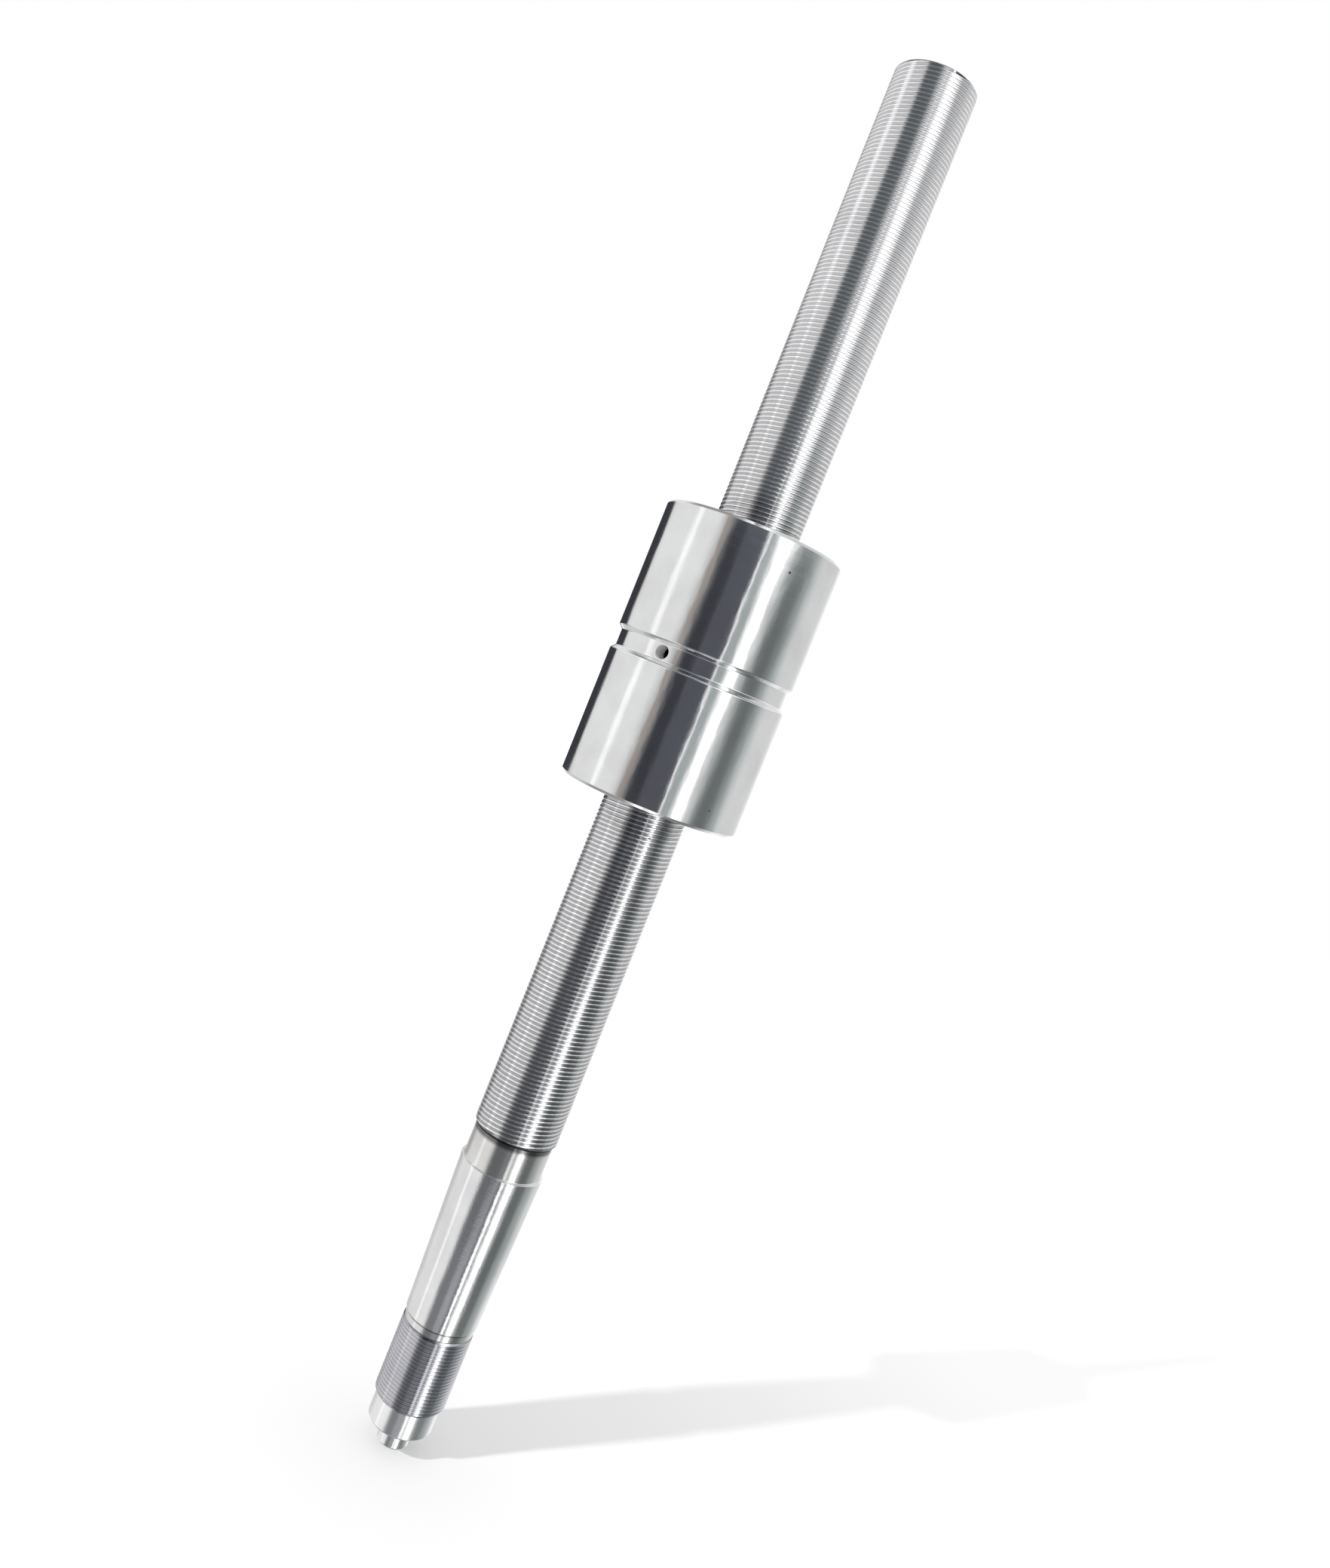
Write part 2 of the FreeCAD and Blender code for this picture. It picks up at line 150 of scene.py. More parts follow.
def blend(tree, share, first, second):
    """Mix two colours, given as sockets or as red, green and blue."""
    colours = [c if isinstance(c, bpy.types.NodeSocket) else (*c, 1.0) for c in (first, second)]
    mix = node(tree, "ShaderNodeMix", {"Factor": share}, data_type="RGBA")
    for socket, colour in zip((mix.inputs[6], mix.inputs[7]), colours):
        if isinstance(colour, bpy.types.NodeSocket):
            tree.links.new(colour, socket)
        else:
            socket.default_value = colour
    return mix.outputs[2]


def place_on_object(tree):
    return node(tree, "ShaderNodeTexCoord").outputs["Object"]


def noise(tree, scale, detail=2.0, stretch=(1, 1, 1)):
    """Noise over the object's own coordinates, stretched along its axes."""
    place = {"Vector": place_on_object(tree), "Scale": stretch}
    mapped = node(tree, "ShaderNodeMapping", place).outputs[0]
    inputs = {"Vector": mapped, "Scale": scale, "Detail": detail}
    return node(tree, "ShaderNodeTexNoise", inputs).outputs["Fac"]


def distance_from_axis(tree):
    across = {0: place_on_object(tree), 1: (1, 1, 0)}
    flat = node(tree, "ShaderNodeVectorMath", across, operation="MULTIPLY").outputs[0]
    return node(tree, "ShaderNodeVectorMath", {0: flat}, operation="LENGTH").outputs["Value"]


def height(tree):
    return node(tree, "ShaderNodeSeparateXYZ", {0: place_on_object(tree)}).outputs["Z"]


def specks(tree, per_metre, share, size):
    """1 on small round spots: in a share of the cells, of a size given in cells."""
    place = {"Vector": place_on_object(tree), "Scale": per_metre}
    cells = node(tree, "ShaderNodeTexVoronoi", place)
    chosen = node(tree, "ShaderNodeSeparateXYZ", {0: cells.outputs["Color"]}).outputs["X"]
    inside = maths(tree, "LESS_THAN", cells.outputs["Distance"], size)
    return maths(tree, "MULTIPLY", maths(tree, "LESS_THAN", chosen, share), inside)


def layered_bumps(tree, layers):
    """The normal of a surface with bumps on bumps, each given by its height and its depth."""
    under = {}
    for rise, depth in layers:
        bump = node(tree, "ShaderNodeBump", {"Height": rise, "Distance": depth, **under})
        under = {"Normal": bump.outputs[0]}
    return under["Normal"]


def steel(name, colour, worn, roughness, ripple, line_depth, grain=0.0,
          lines=TURNED_LINES, speck_share=0.03):
    """Bare steel with fine machining lines, a slight ripple, cloudy patches and a few specks.

    The ripple, the lines and the grain are depths in metres.
    """
    material = bpy.data.materials.new(name)
    material.use_nodes = True
    tree = material.node_tree
    shader = tree.nodes["Principled BSDF"]
    shader.inputs["Metallic"].default_value = 1.0
    clouds = noise(tree, CLOUD_SCALE, detail=4)
    fine = noise(tree, 1, detail=3, stretch=lines)
    shade = blend(tree, ramp(tree, clouds, *CLOUD_EDGES), colour, worn)
    shade = blend(tree, ramp(tree, fine, *LINE_EDGES, 0.0, LINE_WEAR), shade, worn)
    spots = specks(tree, SPECKS_PER_METRE, speck_share, SPECK_SIZE)
    tree.links.new(blend(tree, spots, shade, SPECK_COLOUR), shader.inputs["Base Color"])
    tree.links.new(ramp(tree, fine, *ROUGH_EDGES, *roughness), shader.inputs["Roughness"])
    waves = noise(tree, WAVE_SCALE, detail=3, stretch=WAVE_STRETCH)
    crinkles = noise(tree, CRINKLE_SCALE, detail=3, stretch=CRINKLE_STRETCH)
    layers = ((waves, ripple), (crinkles, ripple / WAVES_TO_CRINKLES), (fine, line_depth),
              (noise(tree, GRAIN_SCALE), grain))
    tree.links.new(layered_bumps(tree, layers), shader.inputs["Normal"])
    return material


def tint(material, share, colour):
    """Mix a colour into a steel, by a share that is a function of its tree."""
    tree = material.node_tree
    base = tree.nodes["Principled BSDF"].inputs["Base Color"]
    before = base.links[0].from_socket
    tree.links.new(blend(tree, share(tree), before, colour), base)
    return material


def thread_steel(name, colour, worn, roughness, radius, depth, groove_shade):
    """Steel with painted shade in the grooves of a thread, darkest at the root.

    The groove_shade argument is the share of it at the tip's height and at the top of the screw.
    """
    def share(tree):
        # Painted shade in the grooves: full at the root, gone part way up the flanks, a little
        # less towards the top.
        root, unshaded = radius - depth, radius - GROOVE_SHADE_END * depth
        in_groove = ramp(tree, distance_from_axis(tree), root, unshaded, 1.0, 0.0)
        return maths(tree, "MULTIPLY", in_groove, ramp(tree, height(tree), 0.0, SCREW_TOP, *groove_shade))

    material = steel(name, colour, worn, roughness,
                     ripple=0.02 * MM, line_depth=0.002 * MM, grain=0.002 * MM)
    return tint(material, share, GROOVE_SHADE_COLOUR)


def neck_steel(name, top, corner):
    """The neck under a shoulder: browner, with painted shade in the corner under the shoulder,
    whose height is given.
    """
    def share(tree):
        # Painted shade under the shoulder, darkest just below it.
        full = top - CORNER_SHADE_FULL * corner
        return ramp(tree, height(tree), top - corner, full, 0.0, CORNER_SHADE_SHARE)

    material = steel(name, (0.8, 0.795, 0.785), (0.7, 0.69, 0.67), (0.1, 0.2),
                     ripple=0.05 * MM, line_depth=0.002 * MM, grain=0.006 * MM)
    return tint(material, share, CORNER_SHADE_COLOUR)


def drilled_steel():
    """The walls of the oil holes: dull and rough from the drill, so that they scatter light."""
    material = steel("drilled_steel", (0.85, 0.85, 0.86), (0.7, 0.7, 0.71), (0.55, 0.7),
                     ripple=0.05 * MM, line_depth=0.002 * MM)
    shader = material.node_tree.nodes["Principled BSDF"]
    shader.inputs["Metallic"].default_value = DRILLED_METALLIC
    return material


MATERIALS = {
    "nut": steel("nut_steel", (0.86, 0.865, 0.87), (0.78, 0.78, 0.785), (0.07, 0.13),
                 ripple=0.12 * MM, line_depth=0.0006 * MM),
    "hole": drilled_steel(),
    "thread": thread_steel("thread_steel", (0.92, 0.92, 0.93), (0.84, 0.84, 0.85), (0.09, 0.15),
                           SCREW_RADIUS, SCREW_DEPTH, groove_shade=(0.7, 0.55)),
    "lock": thread_steel("lock_steel", (0.76, 0.76, 0.81), (0.65, 0.65, 0.7), (0.1, 0.18),
                         LOCK_RADIUS, LOCK_DEPTH, groove_shade=(0.5, 0.5)),
    "journal": steel("journal_steel", (0.86, 0.86, 0.865), (0.76, 0.76, 0.77), (0.06, 0.13),
                     ripple=0.1 * MM, line_depth=0.001 * MM, grain=0.014 * MM, speck_share=0.05),
    "spigot": steel("spigot_steel", (0.92, 0.92, 0.925), (0.84, 0.84, 0.845), (0.14, 0.24),
                    ripple=0.05 * MM, line_depth=0.001 * MM, grain=0.006 * MM),
    "relief": neck_steel("relief_steel", RELIEF_TOP, 1.8 * MM),
    "undercut": neck_steel("undercut_steel", UNDERCUT_TOP, 0.7 * MM),
}


def direction_of(start, end):
    step = np.subtract(end, start)
    return step / np.hypot(*step)


def outward(direction):
    """The normal of a section's edge, on the right of the way along it."""
    return np.array([direction[1], -direction[0]])


def rounded_corner(before, corner, after, radius):
    """The arc that rounds one corner of a section: its points and their normals."""
    first, second = direction_of(before, corner), direction_of(corner, after)
    turn = math.atan2(first[0] * second[1] - first[1] * second[0], first @ second)
    reach = min(math.dist(before, corner), math.dist(corner, after)) * CORNER_REACH
    cut = min(radius * math.tan(abs(turn) / 2), reach)
    radius = math.copysign(cut / math.tan(abs(turn) / 2), turn)
    centre = corner - first * cut - outward(first) * radius
    arc = []
    for i in range(ARC_STEPS + 1):
        angle = turn * i / ARC_STEPS
        c, s = math.cos(angle), math.sin(angle)
        n = outward(first)
        normal = np.array([c * n[0] - s * n[1], s * n[0] + c * n[1]])
        arc.append((*(centre + normal * radius), *normal))
    return arc


def rounded_section(corners, closed=False):
    """A section from (radius, height, rounding) corners, as (radius, height, normal) points."""
    points = [np.array(c[:2]) for c in corners]
    section = []
    for i, corner in enumerate(points):
        if not closed and i in (0, len(points) - 1):
            near = points[1] if i == 0 else points[-2]
            along = direction_of(corner, near) if i == 0 else direction_of(near, corner)
            section.append((*corner, *outward(along)))
        else:
            after = points[(i + 1) % len(points)]
            section += rounded_corner(points[i - 1], corner, after, corners[i][2])
    return np.array(section)


def new_piece(name, points, faces, materials):
    mesh = bpy.data.meshes.new(name)
    mesh.from_pydata([tuple(p) for p in points], [], faces)
    for key in materials:
        mesh.materials.append(MATERIALS[key])
    mesh.polygons.foreach_set("use_smooth", [True] * len(mesh.polygons))
    piece = bpy.data.objects.new(name, mesh)
    bpy.context.scene.collection.objects.link(piece)
    return piece


def lathe(name, section, materials, closed=False, slot_of_height=None):
    """Turn a section about the Z axis, with the section's own normals on the surface."""
    count = len(section)
    angles = np.linspace(0, 2 * math.pi, LATHE_COLUMNS, endpoint=False)
    ways = np.stack([np.cos(angles), np.sin(angles)], -1)

    def turned(across, up):
        rise = np.broadcast_to(up[:, None, None], (count, LATHE_COLUMNS, 1))
        return np.concatenate([across[:, None, None] * ways, rise], -1).reshape(-1, 3)

    radius, level, normal_across, normal_up = section.T
    faces = []
    for i in range(count if closed else count - 1):
        low, high = i * LATHE_COLUMNS, (i + 1) % count * LATHE_COLUMNS
        for j in range(LATHE_COLUMNS):
            k = (j + 1) % LATHE_COLUMNS
            faces.append((low + j, low + k, high + k, high + j))
    piece = new_piece(name, turned(radius, level), faces, materials)
    if slot_of_height:
        for face in piece.data.polygons:
            face.material_index = slot_of_height(face.center.z)
    normals = turned(normal_across, normal_up)
    piece.data.normals_split_custom_set_from_vertices(normals.tolist())
    return piece


def weld(mesh):
    """Merge the points that coincide, and drop those that no face uses."""
    trim = bmesh.new()
    trim.from_mesh(mesh)
    bmesh.ops.remove_doubles(trim, verts=trim.verts, dist=MERGE_DISTANCE)
    loose = [v for v in trim.verts if not v.link_faces]
    bmesh.ops.delete(trim, geom=loose, context="VERTS")
    trim.to_mesh(mesh)
    trim.free()


def helical_thread(name, low, high, envelope, pitch, starts, depth, materials):
    """A threaded sleeve between two heights, cut off where it leaves its envelope.

    The rows of the grid follow the helix, so that one turn ends a lead above where it began.
    """
    lead = pitch * starts
    rows_per_pitch = len(THREAD_SECTION)
    pitches = math.ceil((high - low) / pitch) + 2 * starts
    rows = np.arange(pitches * rows_per_pitch + 1)
    columns = np.arange(THREAD_COLUMNS)
    phase = np.array([p for p, _ in THREAD_SECTION])[rows % rows_per_pitch]
    below = np.array([d for _, d in THREAD_SECTION])[rows % rows_per_pitch] * depth
    level = low - lead + (rows // rows_per_pitch + phase) * pitch
    level = np.clip(level[:, None] + lead * columns / THREAD_COLUMNS, low, high)
    radius = np.minimum(envelope(level), envelope((low + high) / 2) - below[:, None])
    angle = 2 * math.pi * columns / THREAD_COLUMNS
    points = np.stack([radius * np.cos(angle), radius * np.sin(angle), level], -1).reshape(-1, 3)
    faces = []
    turn = starts * rows_per_pitch
    for i in range(len(rows) - 1 - turn):
        for j in range(THREAD_COLUMNS):
            k, up = (j + 1, 0) if j + 1 < THREAD_COLUMNS else (0, turn)
            face = [(i, j), (i + up, k), (i + 1 + up, k), (i + 1, j)]
            levels = [level[row, column] for row, column in face]
            if max(levels) > low and min(levels) < high:
                faces.append([row * THREAD_COLUMNS + column for row, column in face])
    piece = new_piece(name, points, faces, materials)
    weld(piece.data)
    piece.modifiers.new("flat_crests_and_grooves", "WEIGHTED_NORMAL")
    return piece


def chamfered(low, high, radius, low_chamfer, high_chamfer):
    """The envelope of a thread: a cylinder with a chamfer at each end, as a function of height."""
    def envelope(level):
        into_chamfer = np.maximum(low + low_chamfer - level, level - high + high_chamfer)
        return radius - np.maximum(0, into_chamfer)

    return envelope


def shaft_end_slot(level):
    """Which of the shaft end's materials a face has, by its height."""
    key = "journal"
    if level < PILOT_TOP:
        key = "spigot"
    elif LOCK_TOP < level < UNDERCUT_TOP:
        key = "undercut"
    elif level > TAPER_TOP:
        key = "relief"
    return SHAFT_END_MATERIALS.index(key)


def make_shaft_end():
    """The stepped and tapered end of the shaft, with a core inside its locknut thread."""
    centre_edge, edge, corner = 0.1 * MM, 0.2 * MM, 0.12 * MM
    core = LOCK_RADIUS - LOCK_CHAMFER
    section = rounded_section([
        (0, TIP_CENTRE_RADIUS / CENTRE_SLOPE, 0),
        (TIP_CENTRE_RADIUS, 0, centre_edge),
        (TIP_RADIUS - TIP_CHAMFER, 0, edge),
        (TIP_RADIUS, TIP_CHAMFER, edge),
        (TIP_RADIUS, TIP_TOP, corner),
        (PILOT_RADIUS - PILOT_CHAMFER, TIP_TOP, edge),
        (PILOT_RADIUS, TIP_TOP + PILOT_CHAMFER, edge),
        (PILOT_RADIUS, PILOT_TOP, corner),
        (core, PILOT_TOP, corner),
        (core, LOCK_TOP, corner),
        (UNDERCUT_RADIUS, LOCK_TOP, corner),
        (UNDERCUT_RADIUS, UNDERCUT_TOP, corner),
        (TAPER_LOW_RADIUS, UNDERCUT_TOP, edge),
        (TAPER_HIGH_RADIUS, TAPER_TOP, edge),
        (RELIEF_RADIUS, TAPER_TOP, corner),
        (RELIEF_RADIUS, RELIEF_TOP, corner),
        (SCREW_RADIUS - SCREW_CHAMFER, RELIEF_TOP, 0),
    ])
    return lathe("shaft_end", section, SHAFT_END_MATERIALS, slot_of_height=shaft_end_slot)


def make_lock_thread():
    """The locknut's thread, which runs down to the undercut at its upper end."""
    undercut = LOCK_RADIUS - UNDERCUT_RADIUS
    envelope = chamfered(PILOT_TOP, LOCK_TOP, LOCK_RADIUS, LOCK_CHAMFER, undercut)
    return helical_thread("shaft_lock_thread", PILOT_TOP, LOCK_TOP, envelope,
                          LOCK_PITCH, LOCK_STARTS, LOCK_DEPTH, ["lock"])


def make_screw_thread():
    """The screw's own thread, from the relief neck to the upper end."""
    envelope = chamfered(RELIEF_TOP, SCREW_TOP, SCREW_RADIUS, SCREW_CHAMFER, END_CHAMFER)
    return helical_thread("shaft_thread", RELIEF_TOP, SCREW_TOP, envelope,
                          SCREW_PITCH, SCREW_STARTS, SCREW_DEPTH, ["thread"])


def make_screw_end_face():
    """The upper end of the screw, with its centre hole."""
    centre_edge = 0.15 * MM
    section = rounded_section([
        (SCREW_RADIUS - END_CHAMFER, SCREW_TOP, 0),
        (END_CENTRE_RADIUS, SCREW_TOP, centre_edge),
        (0, SCREW_TOP - END_CENTRE_RADIUS / CENTRE_SLOPE, 0),
    ])
    return lathe("shaft_end_face", section, ["journal"])


def nut_section():
    """The closed section of the nut: up its outside, and down through its counterbores."""
    edge, corner = 0.15 * MM, 0.05 * MM
    lip_edge, groove_edge = 0.6 * MM, 0.5 * MM
    floor = NUT_RADIUS - OIL_GROOVE_DEPTH
    snap_low, snap_high = (c.z - NUT_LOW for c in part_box("snap_ring_lower"))
    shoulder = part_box("ring_gear_lower")[1].z - NUT_LOW
    outside = [
        (NUT_RADIUS - NUT_CHAMFER, NUT_LOW, edge),
        (NUT_RADIUS, NUT_LOW + NUT_CHAMFER, edge),
        (NUT_RADIUS, NUT_MIDDLE - OIL_GROOVE_WIDTH / 2, lip_edge),
        (floor, NUT_MIDDLE - OIL_GROOVE_FLOOR / 2, groove_edge),
        (floor, NUT_MIDDLE + OIL_GROOVE_FLOOR / 2, groove_edge),
        (NUT_RADIUS, NUT_MIDDLE + OIL_GROOVE_WIDTH / 2, lip_edge),
        (NUT_RADIUS, NUT_HIGH - NUT_CHAMFER, edge),
        (NUT_RADIUS - NUT_CHAMFER, NUT_HIGH, edge),
    ]
    end = [
        (COUNTERBORE_RADIUS, 0, edge),
        (COUNTERBORE_RADIUS, snap_low, corner),
        (SNAP_GROOVE_RADIUS, snap_low, corner),
        (SNAP_GROOVE_RADIUS, snap_high, corner),
        (COUNTERBORE_RADIUS, snap_high, corner),
        (COUNTERBORE_RADIUS, shoulder, corner),
        (BORE_RADIUS, shoulder, corner),
    ]
    upper = [(radius, NUT_HIGH - depth, rounding) for radius, depth, rounding in end]
    lower = [(radius, NUT_LOW + depth, rounding) for radius, depth, rounding in reversed(end)]
    return rounded_section(outside + upper + lower, closed=True)


def oil_hole_ways():
    """The ways out from the axis along the oil holes."""
    for i in range(OIL_HOLE_COUNT):
        angle = OIL_HOLE_ANGLE + 2 * math.pi * i / OIL_HOLE_COUNT
        yield Vector((math.cos(angle), math.sin(angle), 0))


def make_drills():
    """A cylinder through the nut's wall for each oil hole, in the material of the hole's wall."""
    middle = Vector((0, 0, NUT_MIDDLE))
    drills = bmesh.new()
    for way in oil_hole_ways():
        centre = middle + way * (BORE_RADIUS + NUT_RADIUS) / 2
        place = Matrix.Translation(centre) @ way.to_track_quat("Z", "Y").to_matrix().to_4x4()
        bmesh.ops.create_cone(drills, cap_ends=True, segments=DRILL_SIDES, radius1=OIL_HOLE_RADIUS,
                              radius2=OIL_HOLE_RADIUS, depth=DRILL_LENGTH, matrix=place)
    for face in drills.faces:
        face.material_index = HOLE_SLOT
        face.smooth = True
    mesh = bpy.data.meshes.new("drills")
    drills.to_mesh(mesh)
    drills.free()
    for key in NUT_MATERIALS:
        mesh.materials.append(MATERIALS[key])
    cutter = bpy.data.objects.new("drills", mesh)
    bpy.context.scene.collection.objects.link(cutter)
    return cutter


def drill_oil_holes(nut):
    """Cut the radial holes, whose walls keep the material of the drills."""
    cutter = make_drills()
    cut = nut.modifiers.new("oil_holes", "BOOLEAN")
    cut.object, cut.operation, cut.solver = cutter, "DIFFERENCE", "EXACT"
    seen = nut.evaluated_get(bpy.context.evaluated_depsgraph_get())
    drilled = bpy.data.meshes.new_from_object(seen)
    nut.modifiers.clear()
    nut.data = drilled
    bpy.data.objects.remove(cutter)


def section_normals(section, radius, level):
    """The normals of a section at points on it, given by radius and height."""
    start, end = section, np.roll(section, -1, axis=0)
    step = end[:, :2] - start[:, :2]
    offset = np.stack([radius, level], -1)[:, None] - start[:, :2]
    share = np.clip((offset * step).sum(-1) / np.maximum((step ** 2).sum(-1), NO_LENGTH), 0, 1)
    gap = np.hypot(*np.moveaxis(offset - share[..., None] * step, -1, 0))
    nearest = gap.argmin(1)
    at = share[np.arange(len(nearest)), nearest][:, None]
    return start[nearest, 2:] * (1 - at) + end[nearest, 2:] * at


def set_nut_normals(nut, section):
    """Give the drilled nut the normals of its section, and its holes those of round walls."""
    mesh = nut.data
    points = np.array([mesh.vertices[loop.vertex_index].co for loop in mesh.loops])
    radius = np.hypot(points[:, 0], points[:, 1])
    flat = section_normals(section, radius, points[:, 2])
    normals = np.column_stack([flat[:, :1] * points[:, :2] / radius[:, None], flat[:, 1]])
    middle = Vector((0, 0, NUT_MIDDLE))
    for face in mesh.polygons:
        if face.material_index == HOLE_SLOT:
            way = max(oil_hole_ways(), key=face.center.dot)
            for loop in face.loop_indices:
                arm = Vector(points[loop]) - middle
                normals[loop] = (way * arm.dot(way) - arm).normalized()
    mesh.normals_split_custom_set(normals.tolist())


def make_nut():
    """The nut: turned, drilled, and smooth across its rounded edges."""
    section = nut_section()
    nut = lathe("nut", section, NUT_MATERIALS, closed=True)
    drill_oil_holes(nut)
    set_nut_normals(nut, section)
    return nut


def dress_inner_pieces():
    """Give the pieces inside the nut, which keep their solids, their own steels."""
    roller = steel("roller_steel", (0.78, 0.78, 0.79), (0.66, 0.66, 0.67), (0.14, 0.24),
                   ripple=0.02 * MM, line_depth=0.001 * MM)
    gear = steel("gear_steel", (0.56, 0.56, 0.58), (0.46, 0.46, 0.48), (0.22, 0.36),
                 ripple=0.02 * MM, line_depth=0.002 * MM, lines=FACE_LINES)
    carrier = steel("carrier_steel", (0.66, 0.66, 0.67), (0.54, 0.54, 0.55), (0.22, 0.36),
                    ripple=0.02 * MM, line_depth=0.002 * MM, lines=FACE_LINES)
    washer = steel("washer_steel", (0.74, 0.74, 0.75), (0.62, 0.62, 0.63), (0.16, 0.28),
                   ripple=0.02 * MM, line_depth=0.001 * MM, lines=FACE_LINES)
    spring = steel("spring_steel", (0.16, 0.16, 0.17), (0.1, 0.1, 0.11), (0.3, 0.45),
                   ripple=0.03 * MM, line_depth=0.002 * MM)
    by_start = {"roller": roller, "ring_gear": gear, "carrier": carrier,
                "thrust_washer": washer, "snap_ring": spring}
    for name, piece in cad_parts.items():
        for start, material in by_start.items():
            if name.startswith(start):
                piece.data.materials.clear()
                piece.data.materials.append(material)


def make_object():
    """Make the pieces, and say which bodies they ride on and which solids they replace."""
    shaft = [make_screw_thread(), make_screw_end_face(), make_shaft_end(), make_lock_thread()]
    for piece in shaft:
        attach(piece, "screw")
    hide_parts("screw_shaft")
    nut = make_nut()
    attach(nut, "nut")
    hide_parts("nut_body")
    dress_inner_pieces()


def make_camera():
    """Place the photograph's camera, rolled so that the axis leans in the picture."""
    data = bpy.data.cameras.new("camera")
    data.sensor_width = SENSOR_WIDTH
    data.lens = FOCAL_PX / PHOTO_HEIGHT_PX * SENSOR_WIDTH
    data.shift_x, data.shift_y = (-px / PHOTO_HEIGHT_PX for px in OFF_CENTRE_PX)
    data.clip_start = CLIP_START
    camera = bpy.data.objects.new("camera", data)
    ahead = Vector((0, math.cos(CAMERA_PITCH), -math.sin(CAMERA_PITCH)))
    level_right = Vector((1, 0, 0))
    level_up = level_right.cross(ahead)
    right = level_right * math.cos(AXIS_LEAN) + level_up * math.sin(AXIS_LEAN)
    turn = Matrix((right, right.cross(ahead), -ahead)).transposed()
    camera.matrix_world = Matrix.Translation((0, -CAMERA_DISTANCE, CAMERA_HEIGHT)) @ turn.to_4x4()
    bpy.context.scene.collection.objects.link(camera)
    bpy.context.scene.camera = camera


# The studio round the object, as polished steel mirrors it. Angles are in degrees: azimuths
# from the way to the photograph's camera, with positive ones to its right, and heights above
# the horizon. A panel fades in over the first two angles and out over the last two; where the
# fades cross, it is never at its full brightness. Later panels cover earlier ones.
ALL_AZIMUTHS, ALL_HEIGHTS = (-200, -190, 190, 200), (-95, -91, 91, 95)
LEFT_SIDE, LEFT_BACK = (-175, -150, -60, -40), (-195, -190, -140, -118)
BELOW, FLAG_HEIGHTS = (-65, -48, -34, -10), (-82, -72, 50, 60)
SIDE_HEIGHTS = (-62, -42, 42, 62)
NEUTRAL, COOL, BLUISH = (1, 1, 1), (0.97, 1.0, 1.04), (0.95, 0.98, 1.16)
GREENISH, SLATE, WARM = (0.94, 1.02, 1.02), (0.88, 1.0, 1.07), (1.12, 0.99, 0.92)
STUDIO_GREY = 0.85
